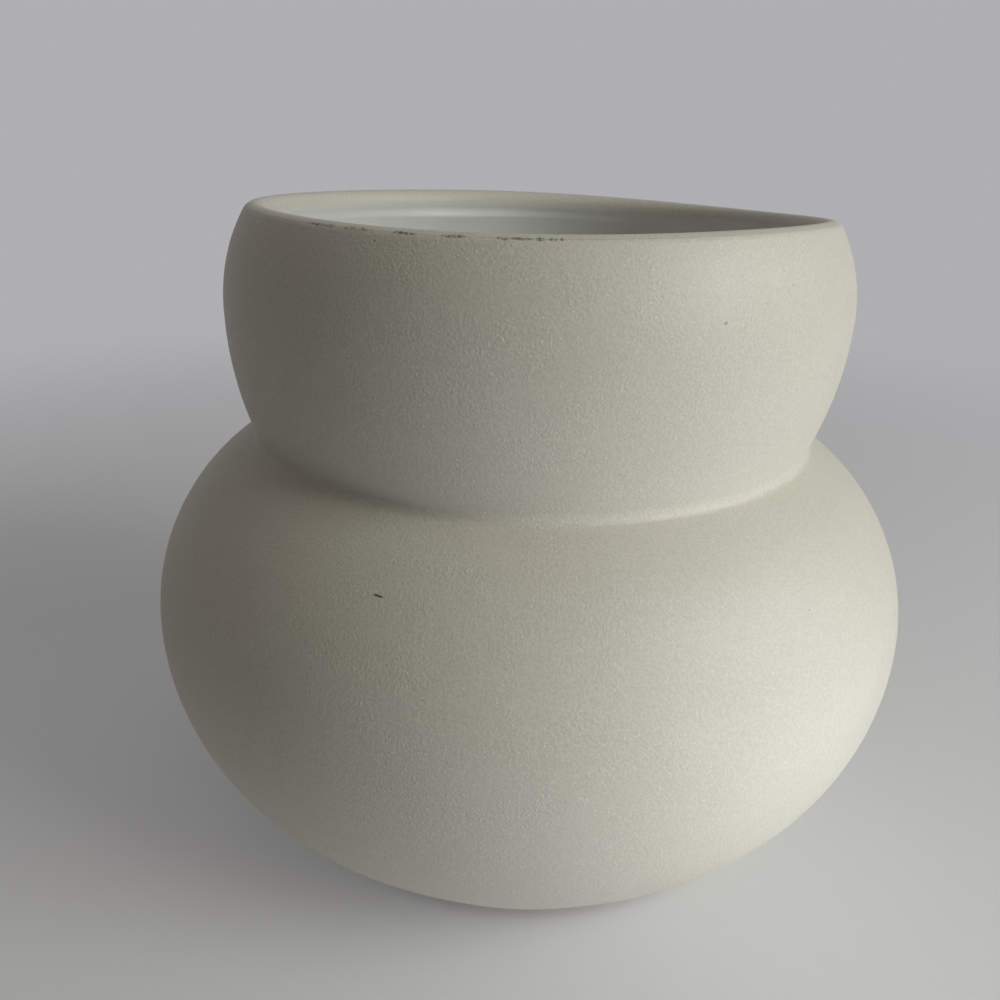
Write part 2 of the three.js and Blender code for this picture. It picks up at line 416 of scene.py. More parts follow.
    def outside(self, depth, density):
        """The satin glaze at a depth, from its edge on the bevel to its edge at the seam on the lip."""
        nose = self.arc(
            "nose", self.nose, self.nose_radius - depth, self.nose_start, self.seam - self.seam_half, density
        )
        return joined(self.bevel(depth, self.glaze_edge, density), self.whole(depth, density), nose)

    def lining(self, depth, density):
        """The gloss glaze at a depth, from the axis over the floor and up to its edge at the seam."""
        nose = self.arc(
            "nose", self.nose, depth - self.nose_radius, self.nose_end, self.seam + self.seam_half, density
        )
        return joined(self.floor(depth, density), self.whole(depth, density, LINING_LIP), nose)

    def edged(self, profile):
        """The lining's face with the thick edge that the gloss glaze has under the lip.

        At a distance d from the seam a point moves off the wall by height * s((d - edge) / width)
        * s((fade - d) / (fade - edge)), where s(t) = t^2 (3 - 2 t) for t held to 0..1.
        """
        form = self.form
        away = np.hypot(*(profile - polar(self.nose, self.nose_radius, self.seam)).T)
        along = np.gradient(profile, axis=0)
        off_wall = np.stack([-along[:, 1], along[:, 0]], axis=1) / np.hypot(*along.T)[:, None]
        step = eased((away - form.edge_from_seam) / form.edge_width)
        fade = eased((form.edge_fade - away) / (form.edge_fade - form.edge_from_seam))
        return profile + off_wall * (form.edge_height * step * fade)[:, None]


# Surfaces


def turned(profile, steps):
    """A profile carried round the Z axis: x = r cos t, y = r sin t, for evenly spaced angles t of one turn.

    The profile runs with the solid on its left, so that the faces point outwards. One that starts and ends
    on the axis gets a single vertex at each end, and any other is closed on itself.
    """
    capped = profile[0, 0] == 0.0
    rows = profile[1:-1] if capped else profile
    turn = np.linspace(0.0, 2.0 * np.pi, steps, endpoint=False)
    radius = rows[:, :1]
    height = np.repeat(rows[:, 1:], steps, axis=1)
    vertices = np.stack([radius * np.cos(turn), radius * np.sin(turn), height], axis=-1).reshape(-1, 3)
    here = np.arange(len(vertices)).reshape(len(rows), steps)
    if not capped:
        here = np.vstack([here, here[:1]])
    beside = np.roll(here, -1, axis=1)
    faces = np.stack([here[:-1], beside[:-1], beside[1:], here[1:]], axis=-1).reshape(-1, 4).tolist()
    if capped:
        start = np.full(steps, len(vertices))
        faces += np.stack([start, beside[0], here[0]], axis=1).tolist()
        faces += np.stack([here[-1], beside[-1], start + 1], axis=1).tolist()
        vertices = np.vstack([vertices, [[0.0, 0.0, profile[0, 1]], [0.0, 0.0, profile[-1, 1]]]])
    return vertices, faces


def wheel_rings(height, angle, pitch):
    """Depth of the wheel's rings at each height h and angle t, as a share from 0 to 1.

    With p = 2 pi h / pitch it is 1/2 + f sin(p + d sin t) + c sin(r p + e cos t), where f and d are the fine
    set's share and drift, and c, r and e the coarse set's share, rate and drift.
    """
    phase = 2.0 * np.pi * height / pitch
    fine = np.sin(phase + FINE_DRIFT * np.sin(angle))
    coarse = np.sin(COARSE_RATE * phase + COARSE_DRIFT * np.cos(angle))
    return 0.5 + FINE_SHARE * fine + COARSE_SHARE * coarse


def by_hand(vertices, wall, hand):
    """Moves points as hand work left them.

    Above the waist a point moves towards +X by tan(lean) times its height over the waist, and up by a smooth
    share, 0 at the waist and 1 at the crest, of the lip's wave: the sum of c_k cos(k t) + s_k sin(k t) for
    k = 1 to 3. The wheel's rings pinch the radius, and fade out near the axis.
    """
    x, y, z = vertices.T
    angle = np.arctan2(y, x)
    radius = np.hypot(x, y)
    over = np.clip(z - wall.crease[1], 0.0, None)
    share = eased(over / (wall.crest_height - wall.crease[1]))
    turns = angle[:, None] * np.arange(1, len(hand.lip_cosines) + 1)
    wave = np.cos(turns) @ np.array(hand.lip_cosines) + np.sin(turns) @ np.array(hand.lip_sines)
    depth = hand.ring_depth * wheel_rings(z, angle, hand.ring_pitch)
    pinch = 1.0 - depth * np.clip(radius / RING_CORE, 0.0, 1.0) / np.maximum(radius, RING_CORE)
    return np.stack([x * pinch + math.tan(hand.lean) * over, y * pinch, z + share * wave], axis=1)


def wavering(vertices, wall, hand):
    """Lets the satin glaze's lower edge waver along the bevel, less and less up to the bevel's top.

    At angle t the edge shifts by the waver's size times the mean of sin(n t + s) over its waves.
    """
    x, y, z = vertices.T
    angle = np.arctan2(y, x)
    top = wall.form.trim_rise
    edge = wall.bevel_point(0.0, wall.glaze_edge)[1]
    share = np.clip((top - z) / (top - edge), 0.0, 1.0) ** 2
    waver = np.mean([np.sin(count * angle + start) for count, start in EDGE_WAVES], axis=0)
    shift = hand.glaze_waver * waver * share
    outward = wall.down_bevel[0] * shift
    return np.stack([
        x + outward * np.cos(angle), y + outward * np.sin(angle), z + wall.down_bevel[1] * shift,
    ], axis=1)


def gathered(even, thick, hand):
    """Lets the gloss glaze gather on one side of the mouth.

    A point at angle t goes from its even place towards its thick one by the share
    l + (1 - l) exp(-((t - a) / w)^2), where l is left all round, and a and w are the edge's angle and reach.
    """
    off = np.arctan2(even[:, 1], even[:, 0]) - hand.edge_angle
    off = np.arctan2(np.sin(off), np.cos(off))
    share = hand.edge_least + (1.0 - hand.edge_least) * np.exp(-((off / hand.edge_reach) ** 2))
    return even + (thick - even) * share[:, None]


def placed(name, node, vertices, faces, finish):
    """A piece made from vertices and faces, which stands for a node of the frame and rides on its body."""
    mesh = bpy.data.meshes.new(name)
    mesh.from_pydata(vertices, [], faces)
    mesh.shade_smooth()
    mesh.set_sharp_from_angle(angle=SHARP_ANGLE)
    mesh.materials.append(finish)
    thing = bpy.data.objects.new(name, mesh)
    bpy.context.scene.collection.objects.link(thing)
    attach(thing, "root")
    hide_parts(node)
    return thing


def measure_seam(glaze, wall, vertices):
    """Stores how far each point, before hand work moved it, lies in section from the seam on the lip."""
    seam = polar(wall.nose, wall.nose_radius, wall.seam)
    away = np.hypot(np.hypot(vertices[:, 0], vertices[:, 1]) - seam[0], vertices[:, 2] - seam[1])
    measured = glaze.data.attributes.new(SEAM_DISTANCE, "FLOAT", "POINT")
    measured.data.foreach_set("value", away)


# Shader maths


class Wire:
    """A socket of a node tree, on which arithmetic adds Math nodes."""

    def __init__(self, nodes, socket):
        self.nodes = nodes
        self.socket = socket

    def other(self, output):
        """Another output of the same node."""
        return Wire(self.nodes, self.socket.node.outputs[output])

    def maths(self, operation, first, second):
        """A Math node on two values."""
        return self.nodes.add("ShaderNodeMath", {"operation": operation}, {0: first, 1: second})

    def __add__(self, value):
        return self.maths("ADD", self, value)

    __radd__ = __add__

    def __sub__(self, value):
        return self.maths("SUBTRACT", self, value)

    def __rsub__(self, value):
        return self.maths("SUBTRACT", value, self)

    def __mul__(self, value):
        return self.maths("MULTIPLY", self, value)

    __rmul__ = __mul__

    def __or__(self, value):
        return self.maths("MAXIMUM", self, value)

    __ror__ = __or__


class Nodes:
    """A node tree that starts empty."""

    def __init__(self, tree):
        self.tree = tree
        tree.nodes.clear()

    def add(self, kind, options=None, values=None, output=0):
        """A node of a type, with its options set first and then the values or links of its sockets."""
        node = self.tree.nodes.new(kind)
        for name, value in (options or {}).items():
            setattr(node, name, value)
        for name, value in (values or {}).items():
            if isinstance(value, Wire):
                self.tree.links.new(value.socket, node.inputs[name])
            else:
                node.inputs[name].default_value = value
        return Wire(self, node.outputs[output]) if len(node.outputs) else None

    def noise(self, place, scale, detail=2.0, roughness=0.5):
        """Soft noise about 0.5, with features of 1 / scale metres."""
        values = {"Vector": place, "Scale": scale, "Detail": detail, "Roughness": roughness}
        return self.add("ShaderNodeTexNoise", None, values)

    def smooth(self, value, start, end, top=1.0):
        """0 at start and top at end, easing at both."""
        values = {"Value": value, "From Min": start, "From Max": end, "To Max": top}
        return self.add("ShaderNodeMapRange", {"interpolation_type": "SMOOTHSTEP"}, values)

    def mix(self, share, first, second):
        """A colour between two."""
        return self.add("ShaderNodeMix", {"data_type": "RGBA"}, {0: share, 6: first, 7: second}, 2)

    def stretched(self, place, scale):
        """Coordinates scaled along X, Y and Z."""
        return self.add("ShaderNodeMapping", None, {"Vector": place, "Scale": scale})

    def place(self):
        """The piece's own coordinates, in metres."""
        return self.add("ShaderNodeTexCoord", output="Object")

    def from_seam(self):
        """The distance from the seam that the glaze's mesh carries."""
        return self.add("ShaderNodeAttribute", {"attribute_name": SEAM_DISTANCE}, None, "Fac")

    def cells(self, place, scale):
        """Distance from the nearest of scattered points, which lie about 1 / scale metres apart."""
        return self.add("ShaderNodeTexVoronoi", {"feature": "F1"}, {"Vector": place, "Scale": scale})

    def chance(self, cells):
        """A random number for each of those points."""
        return self.add("ShaderNodeSeparateColor", None, {0: cells.other("Color")})

    def bump(self, height, distance):
        """A normal from a height, on which 1 stands for a distance in metres."""
        return self.add("ShaderNodeBump", None, {"Height": height, "Strength": 1.0, "Distance": distance})


def rgba(value, level=1.0):
    """A colour property as four numbers, made lighter or darker by a level."""
    return (*(channel * level for channel in value), 1.0)


def new_finish(name):
    """An empty material and the node tree to fill."""
    material = bpy.data.materials.new(name)
    material.use_nodes = True
    return material, Nodes(material.node_tree)


def surface(nodes, base, roughness, normal, ior):
    """The material's shader and output."""
    values = {"Base Color": base, "Roughness": roughness, "Normal": normal, "IOR": ior}
    shader = nodes.add("ShaderNodeBsdfPrincipled", None, values)
    nodes.add("ShaderNodeOutputMaterial", None, {"Surface": shader})


# Flecks on the photographed side: angle in degrees from the front to the right, height, half length and half
# height in millimetres, slope in degrees, and strength
FLECKS = (
    (-19.6, 78.6, 1.05, 0.2, -6.0, 0.9),
    (28.0, 122.8, 0.5, 0.25, 30.0, 0.45),
    (42.0, 127.5, 0.25, 0.2, 0.0, 0.3),
    (-18.5, 128.8, 0.2, 0.2, 0.0, 0.3),
    (40.5, 73.3, 0.2, 0.2, 0.0, 0.3),
    (-11.5, 65.5, 0.3, 0.2, 0.0, 0.3),
    (-25.0, 134.0, 0.2, 0.2, 0.0, 0.6),
)
# Wear along the seam on the lip: angle in degrees from the front to the right, half length in millimetres,
# and strength. The half height is the same for all.
DARK_WEAR = (
    (-38.0, 2.6, 0.8), (-34.5, 0.9, 0.8), (-28.0, 3.0, 0.62), (-21.5, 1.6, 0.76), (-19.5, 1.6, 0.8),
    (-13.5, 1.2, 0.74), (0.5, 1.5, 0.82), (4.0, 0.6, 0.76),
)
CLAY_WEAR = (
    (-36.0, 3.0, 0.66), (-29.0, 4.0, 0.72), (-12.0, 2.4, 0.86), (-5.0, 2.0, 0.76), (-2.0, 3.2, 0.8),
    (2.5, 1.2, 0.7),
)
WEAR_HEIGHT = 0.5
# Radius on which the marks' angles are laid out, the ellipses' soft edge, and how ragged it is
MARK_RADIUS = 0.062
MARK_EDGE = (1.45, 1.05)
MARK_RAGGED = 0.9


def spots(nodes, around, across, ragged, table):
    """Strength of the strongest of a table's ellipses, laid out by angle around and distance across."""
    flat = nodes.add("ShaderNodeCombineXYZ", None, {0: around * MARK_RADIUS, 1: across})
    torn = ragged * MARK_RAGGED
    strength = 0.0
    for angle, middle, length, height, slope, level in table:
        values = {
            "Vector": flat, "Location": (math.radians(angle) * MARK_RADIUS, middle * MILLIMETRE, 0.0),
            "Rotation": (0.0, 0.0, math.radians(slope)),
            "Scale": (length * MILLIMETRE, height * MILLIMETRE, 1.0),
        }
        near = nodes.add("ShaderNodeMapping", {"vector_type": "TEXTURE"}, values)
        away = nodes.add("ShaderNodeVectorMath", {"operation": "LENGTH"}, {0: near}, "Value")
        strength = nodes.smooth(away + torn, *MARK_EDGE, level) | strength
    return strength


def angle_round(nodes, place):
    """Angle from the front to the right, in radians, and the height."""
    axes = nodes.add("ShaderNodeSeparateXYZ", None, {0: place})
    around = nodes.add("ShaderNodeMath", {"operation": "ARCTAN2"}, {0: axes, 1: 0.0 - axes.other("Y")})
    return around, axes.other("Z")


# Wear: features per metre, what a stretch adds to its specks, the range over which they show, shares in the
# colour, tones of the clay, and depth in the relief
WEAR_END_SCALE = 700.0
SPECK_SCALE = 2100.0
SPECK_ROUGHNESS = 0.6
SPECK_GAIN = 0.52
SPECK_RANGE = (0.84, 0.98)
STAIN_SHARE = 0.3
SPECK_SHARE = 0.8
BARE_TONE = 0.7
BURNT_TONE = 0.22
WEAR_RELIEF = 0.4


def seam_wear(nodes, place, around, from_seam, table):
    """A table's worn stretches along the seam, and the specks in them, where fine noise is high enough."""
    rows = [(angle, 0.0, length, WEAR_HEIGHT, 0.0, level) for angle, length, level in table]
    near = spots(nodes, around, from_seam, nodes.noise(place, WEAR_END_SCALE), rows)
    specks = nodes.noise(place, SPECK_SCALE, roughness=SPECK_ROUGHNESS)
    return near, nodes.smooth(specks + near * SPECK_GAIN, *SPECK_RANGE)


def with_wear(nodes, look, place, around, from_seam, ivory):
    """A glaze's colour with the wear along the seam, and where the clay is bare."""
    near_clay, bare = seam_wear(nodes, place, around, from_seam, CLAY_WEAR)
    near_dark, dark = seam_wear(nodes, place, around, from_seam, DARK_WEAR)
    stained = nodes.mix((near_clay | near_dark) * STAIN_SHARE, ivory, rgba(look.clay))
    broken = nodes.mix(bare * SPECK_SHARE, stained, rgba(look.clay, BARE_TONE))
    return nodes.mix(dark * SPECK_SHARE, broken, rgba(look.clay, BURNT_TONE)), bare | dark


# Shared by the finishes: detail of the noise, the range over which clouds show, and the range and share of
# the shade painted in the hollows between the grains
GRAIN_DETAIL = 1.0
CLOUD_DETAIL = 3.0
SOFT_RANGE = (0.3, 0.7)
GRAIN_SHADE_RANGE = (0.7, 0.3)
GRAIN_SHADE_SHARE = 0.09
GLAZE_IOR = 1.5

# Satin glaze: features per metre
PATCH_SCALE = 130.0
SATIN_CLOUD_SCALE = 45.0
LINE_SCALE = (14.0, 14.0, 420.0)
LINE_ROUGHNESS = 0.6
IRON_SCALE = 105.0
# Its scattered iron: range and strength. Its glints: count in a grain's width, chance, range and strength,
# and the tone and share of the highlight painted on them
IRON_RANGE = (0.021, 0.011)
IRON_STRENGTH = 0.4
GLINTS_IN_GRAIN = 1.1
GLINT_CHANCE = (0.84, 0.88)
GLINT_RANGE = (0.5, 0.3)
GLINT_LEAST = 0.4
GLINT_IN_PATCHES = 0.8
PAINTED_GLINT_TONE = 1.3
PAINTED_GLINT_SHARE = 0.4
# Its thin and full places, and what each pattern adds to the relief and the roughness
THIN_RANGE = (0.5, 0.9)
LINE_THINNING = 0.4
GRAIN_LEAST = 0.6
GRAIN_IN_PATCHES = 0.9
GLINT_RELIEF = 0.4
LINE_RELIEF = 0.18
SATIN_CLOUD_RELIEF = 0.3
GRAIN_DULLNESS = 0.2
GLINT_POLISH = 0.28


def satin_finish(look):
    """Ivory satin glaze: sandy grain with painted shade in its hollows, glints with a painted highlight,
    faint turning lines, iron flecks, and wear along the lip.
    """
    material, nodes = new_finish("Satin glaze")
    place = nodes.place()
    grain = nodes.noise(place, 1.0 / look.grain, GRAIN_DETAIL)
    patches = nodes.smooth(nodes.noise(place, PATCH_SCALE), *SOFT_RANGE)
    clouds = nodes.noise(place, SATIN_CLOUD_SCALE, CLOUD_DETAIL)
    lines = nodes.noise(nodes.stretched(place, LINE_SCALE), 1.0, roughness=LINE_ROUGHNESS)
    cells = nodes.cells(place, GLINTS_IN_GRAIN / look.grain)
    chosen = nodes.smooth(nodes.chance(cells), *GLINT_CHANCE) * nodes.smooth(cells, *GLINT_RANGE)
    glints = chosen * (patches * GLINT_IN_PATCHES + GLINT_LEAST)
    scattered = nodes.smooth(nodes.cells(place, IRON_SCALE), *IRON_RANGE, IRON_STRENGTH)
    around, up = angle_round(nodes, place)
    iron = scattered | spots(nodes, around, up, grain, FLECKS)
    full = nodes.smooth(clouds + lines * LINE_THINNING, *THIN_RANGE)
    ivory = nodes.mix(full, rgba(look.satin_thin), rgba(look.satin))
    # Painted shade: the ivory darkened in the hollows between the grains, where the relief is low
    sandy = nodes.mix(nodes.smooth(grain, *GRAIN_SHADE_RANGE, GRAIN_SHADE_SHARE), ivory, BLACK)
    # Painted highlight: the glints made paler than the glaze, standing in for sparkle
    pale = nodes.mix(glints * PAINTED_GLINT_SHARE, sandy, rgba(look.satin, PAINTED_GLINT_TONE))
    worn, bare = with_wear(nodes, look, place, around, nodes.from_seam(), pale)
    base = nodes.mix(iron, worn, rgba(look.fleck))
    sand = grain * (patches * GRAIN_IN_PATCHES + GRAIN_LEAST) + glints * GLINT_RELIEF
    height = sand + lines * LINE_RELIEF + clouds * SATIN_CLOUD_RELIEF - bare * WEAR_RELIEF
    dull = grain * GRAIN_DULLNESS + (look.satin_roughness - GRAIN_DULLNESS / 2.0)
    surface(nodes, base, dull - glints * GLINT_POLISH, nodes.bump(height, look.grain_height), GLAZE_IOR)
    return material


# Gloss glaze: features per metre, and the range over which pinholes show
GLOSS_CLOUD_SCALE = 60.0
WAVE_SCALE = (70.0, 70.0, 240.0)
WAVE_DETAIL = 1.0
WAVE_ROUGHNESS = 0.4
PINHOLE_SCALE = 90.0
PINHOLE_RANGE = (0.028, 0.014)
# Distances from the seam over which it turns sandy, with painted shade between the grains, tones, and shares
# in colour, relief and roughness
LIP_RANGE = (0.00525, 0.0043)
GLOSS_THIN_TONE = 0.95
LIP_TONE = 0.96
PINHOLE_TONE = 0.6
PINHOLE_SHARE = 0.7
GLOSS_CLOUD_RELIEF = 0.5
PINHOLE_RELIEF = 0.6
CLOUD_DULLNESS = 0.08
LIP_DULLNESS = 0.3


def gloss_finish(look):
    """Ivory gloss glaze in soft waves, with a few pinholes, which turns sandy and dull over the lip, with
    painted shade between the grains.
    """
    material, nodes = new_finish("Gloss glaze")
    place = nodes.place()
    clouds = nodes.noise(place, GLOSS_CLOUD_SCALE, CLOUD_DETAIL)
    waves = nodes.noise(nodes.stretched(place, WAVE_SCALE), 1.0, WAVE_DETAIL, WAVE_ROUGHNESS)
    pinholes = nodes.smooth(nodes.cells(place, PINHOLE_SCALE), *PINHOLE_RANGE)
    from_seam = nodes.from_seam()
    lip = nodes.smooth(from_seam, *LIP_RANGE)
    grain = nodes.noise(place, 1.0 / look.grain, GRAIN_DETAIL)
    ivory = nodes.mix(nodes.smooth(clouds, *SOFT_RANGE), rgba(look.gloss, GLOSS_THIN_TONE), rgba(look.gloss))
    thin = nodes.mix(lip, ivory, rgba(look.satin_thin, LIP_TONE))
    # Painted shade: the lip's colour darkened in the hollows between the grains, where the relief is low
    sandy = nodes.mix(nodes.smooth(grain, *GRAIN_SHADE_RANGE, GRAIN_SHADE_SHARE) * lip, thin, BLACK)
    around = angle_round(nodes, place)[0]
    worn, bare = with_wear(nodes, look, place, around, from_seam, sandy)
    base = nodes.mix(pinholes * PINHOLE_SHARE, worn, rgba(look.clay, PINHOLE_TONE))
    melted = waves + clouds * GLOSS_CLOUD_RELIEF - pinholes * PINHOLE_RELIEF
    height = melted + grain * lip - bare * WEAR_RELIEF
    dull = clouds * CLOUD_DULLNESS + lip * LIP_DULLNESS + (look.gloss_roughness - CLOUD_DULLNESS / 2.0)
    surface(nodes, base, dull, nodes.bump(height, look.gloss_height), GLAZE_IOR)
    return material


# Bare clay: features per metre, and the trimming tool's lines
CLAY_FINE_SCALE = 1800.0
CLAY_FINE_ROUGHNESS = 0.65
CLAY_CLOUD_SCALE = 110.0
CLAY_CLOUD_ROUGHNESS = 0.55
GROG_SCALE = 900.0
TRIM_LINES = {"Scale": 260.0, "Distortion": 1.5, "Detail": 2.0, "Detail Scale": 1.5}
# Its pale and dark grog: range and chance. Then tones, and shares in colour, relief and roughness
PALE_GROG_RANGE = (0.42, 0.22)
PALE_GROG_CHANCE = (0.62, 0.72)
DARK_GROG_RANGE = (0.34, 0.2)
DARK_GROG_CHANCE = (0.16, 0.1)
MOTTLE_TONES = (0.82, 1.08)
DARK_GROG_TONE = 0.25
GROG_SHARE = 0.8
GROG_RELIEF = 0.5
TRIM_RELIEF = 0.7
CLAY_ROUGHNESS = 0.74
CLAY_DULLNESS = 0.2
CLAY_IOR = 1.45
SLIP_GROG_TONE = 1.3


def clay_finish(name, body, grog, relief):
    """Bare fired clay: a mottled body with pale and dark grog, and the fine lines of the trimming tool."""
    material, nodes = new_finish(name)
    place = nodes.place()
    fine = nodes.noise(place, CLAY_FINE_SCALE, CLOUD_DETAIL, CLAY_FINE_ROUGHNESS)
    clouds = nodes.noise(place, CLAY_CLOUD_SCALE, CLOUD_DETAIL, CLAY_CLOUD_ROUGHNESS)
    cells = nodes.cells(place, GROG_SCALE)
    chance = nodes.chance(cells)
    grains = nodes.smooth(cells, *PALE_GROG_RANGE) * nodes.smooth(chance, *PALE_GROG_CHANCE)
    dark = nodes.smooth(cells, *DARK_GROG_RANGE) * nodes.smooth(chance, *DARK_GROG_CHANCE)
    rings = {"wave_type": "RINGS", "rings_direction": "Z"}
    lines = nodes.add("ShaderNodeTexWave", rings, {"Vector": place, **TRIM_LINES}, 1)
    shaded, lit = (rgba(body, tone) for tone in MOTTLE_TONES)
    mottled = nodes.mix(nodes.smooth(clouds, *SOFT_RANGE), shaded, lit)
    grogged = nodes.mix(grains * GROG_SHARE, mottled, grog)
    base = nodes.mix(dark * GROG_SHARE, grogged, rgba(body, DARK_GROG_TONE))
    height = fine + grains * GROG_RELIEF + lines * TRIM_RELIEF
    dull = fine * CLAY_DULLNESS + CLAY_ROUGHNESS
    surface(nodes, base, dull, nodes.bump(height, relief), CLAY_IOR)
    return material


def shown(nodes):
    """1 where the stage is seen straight, mirrored or through glass, and 0 where it only gives light."""
    path = nodes.add("ShaderNodeLightPath", output="Is Camera Ray")
    return path | path.other("Is Glossy Ray") | path.other("Is Transmission Ray")


def turned_to(right, up, back, place):
    """A matrix from the three axes of a lamp or camera, and its place."""
    columns = np.eye(4)
    columns[:3, 0] = right
    columns[:3, 1] = up
    columns[:3, 2] = back
    columns[:3, 3] = place
    return Matrix(columns.tolist())


# Operators: one for each piece or pair of like pieces, and one for the stage


class GLOBEVASE_OT_stage(bpy.types.Operator):
    """Makes the floor, the even light and backdrop, the lamps and the camera"""

    bl_idname = "globe_vase.stage"
    bl_label = "Stage"

    def execute(self, context):
        stage = context.scene.vase_stage
        self.floor(context, stage)
        self.world(context, stage)
        for name, lamp in LAMPS.items():
            self.lamp(context, name, stage.lamps, *lamp)
        self.camera(context)
        context.scene.view_settings.view_transform = "Standard"
        return {"FINISHED"}

    def floor(self, context, stage):
        """A level disc, x = r cos t and y = r sin t, that fades out into the backdrop."""
        radius = np.linspace(0.0, FLOOR_RADIUS, FLOOR_RINGS + 1)[1:, None]
        turn = np.linspace(0.0, 2.0 * np.pi, FLOOR_TURN, endpoint=False)
        level = np.zeros((FLOOR_RINGS, FLOOR_TURN))
        rim = np.stack([radius * np.cos(turn), radius * np.sin(turn), level], axis=-1).reshape(-1, 3)
        here = np.arange(len(rim)).reshape(FLOOR_RINGS, FLOOR_TURN)
        beside = np.roll(here, -1, axis=1)
        faces = np.stack([here[:-1], here[1:], beside[1:], beside[:-1]], axis=-1).reshape(-1, 4).tolist()
        faces += np.stack([np.full(FLOOR_TURN, len(rim)), here[0], beside[0]], axis=1).tolist()
        mesh = bpy.data.meshes.new("Floor")
        mesh.from_pydata(np.vstack([rim, [[0.0, 0.0, 0.0]]]), [], faces)
        material, nodes = new_finish("Pale floor")
        place = nodes.place()
        away = nodes.add("ShaderNodeVectorMath", {"operation": "LENGTH"}, {0: place}, "Value")
        speckle = nodes.noise(place, FLOOR_SPECKLE_SCALE)
        tone = nodes.mix(speckle, rgba(stage.floor, FLOOR_SPECKLE_TONE), rgba(stage.floor))
        matt = nodes.add("ShaderNodeBsdfDiffuse", None, {"Color": tone})
        lift = nodes.add("ShaderNodeEmission", None, {"Color": rgba(stage.backdrop), "Strength": 1.0})
        seen = shown(nodes) * stage.floor_lift
        lifted = nodes.add("ShaderNodeMixShader", None, {0: seen, 1: matt, 2: lift})
        clear = nodes.add("ShaderNodeBsdfTransparent")
        gone = nodes.smooth(away, *FLOOR_FADE)
        fading = nodes.add("ShaderNodeMixShader", None, {0: gone, 1: lifted, 2: clear})
        nodes.add("ShaderNodeOutputMaterial", None, {"Surface": fading})
        mesh.materials.append(material)
        disc = bpy.data.objects.new("Floor", mesh)
        context.scene.collection.objects.link(disc)

    def world(self, context, stage):
        """Even light from all round, and the backdrop's colour where it is seen or mirrored."""
        world = bpy.data.worlds.new("Studio")
        world.use_nodes = True
        nodes = Nodes(world.node_tree)
        fill = nodes.add("ShaderNodeBackground", None, {"Color": WHITE, "Strength": stage.fill})
        backdrop = nodes.add("ShaderNodeBackground", None, {"Color": rgba(stage.backdrop), "Strength": 1.0})
        either = nodes.add("ShaderNodeMixShader", None, {0: shown(nodes), 1: fill, 2: backdrop})
        nodes.add("ShaderNodeOutputWorld", None, {"Surface": either})
        context.scene.world = world

    def lamp(self, context, name, level, power, side, distance, azimuth, elevation, beam, tint):
        """A soft square lamp that faces the middle of the vase."""
        light = bpy.data.lights.new(name, "AREA")
        light.shape = "SQUARE"
        light.size = side
        light.energy = power * level
        light.spread = math.radians(beam)
        light.color = tint
        lamp = bpy.data.objects.new(name, light)
        lamp.visible_camera = False
        lamp.visible_glossy = name.startswith("Key")
        turn = math.radians(azimuth)
        rise = math.radians(elevation)
        way = np.array([math.sin(turn) * math.cos(rise), -math.cos(turn) * math.cos(rise), math.sin(rise)])
        right = np.array([math.cos(turn), math.sin(turn), 0.0])
        lamp.matrix_world = turned_to(right, np.cross(way, right), way, way * distance + LAMP_AIM)
        context.scene.collection.objects.link(lamp)

    def camera(self, context):
        """The photograph's view, which looks down a little, with a slight turn and roll."""
        pitch = math.radians(CAMERA_PITCH)
        yaw = math.radians(CAMERA_YAW)
        roll = math.radians(CAMERA_ROLL)
        ahead = np.array([math.sin(yaw), math.cos(yaw), 0.0])
        upright = np.array([0.0, 0.0, 1.0])
        forward = ahead * math.cos(pitch) - upright * math.sin(pitch)
        right = np.array([math.cos(yaw), -math.sin(yaw), 0.0])
        up = ahead * math.sin(pitch) + upright * math.cos(pitch)
        lens = bpy.data.cameras.new("Camera")
        lens.sensor_fit = "HORIZONTAL"
        lens.sensor_width = SENSOR_WIDTH
        lens.lens = FOCAL_LENGTH
        lens.clip_start = NEAREST_SEEN
        eye = bpy.data.objects.new("Camera", lens)
        rolled_right = math.cos(roll) * right + math.sin(roll) * up
        rolled_up = math.cos(roll) * up - math.sin(roll) * right
        eye.matrix_world = turned_to(rolled_right, rolled_up, -forward, CAMERA_PLACE)
        context.scene.collection.objects.link(eye)
        context.scene.camera = eye


class GLOBEVASE_OT_clay(bpy.types.Operator):
    """Makes the two thrown sections, each with its half of the V at the waist"""

    bl_idname = "globe_vase.clay"
    bl_label = "Clay sections"

    def execute(self, context):
        form, hand, look = settings(context)
        wall = Wall(form)
        finish = clay_finish("Stoneware", look.clay, rgba(look.grog), look.clay_height)
        half = form.slip_thickness / 2.0 + form.bond_gap
        inside, outside, density = wall.clay_inside, wall.clay_outside, HIDDEN_DENSITY
        lower = np.concatenate([
            wall.foot(),
            wall.belly_wall(outside, density),
            wall.lower_crease(outside, density)[1:-1],
            wall.vee(-half),
            wall.lower_crease(inside, density)[-2:0:-1],
            wall.belly_wall(inside, density)[::-1],
            wall.floor(inside, density)[-2::-1],
        ])
        upper = np.concatenate([
            wall.vee(half)[::-1],
            wall.upper_crease(outside, density)[1:-1],
            wall.collar_wall(outside, density),
            wall.arc("nose", wall.nose, form.clay_wall / 2.0, wall.nose_start, wall.nose_end, 1.0)[1:-1],
            wall.collar_wall(inside, density)[::-1],
            wall.upper_crease(inside, density)[-2:0:-1],
        ])
        sections = (("Lower_Globe", "lower_globe", lower), ("Upper_Globe", "upper_globe", upper))
        for name, node, profile in sections:
            vertices, faces = turned(profile, CLAY_TURN)
            placed(name, node, by_hand(vertices, wall, hand), faces, finish)
        return {"FINISHED"}


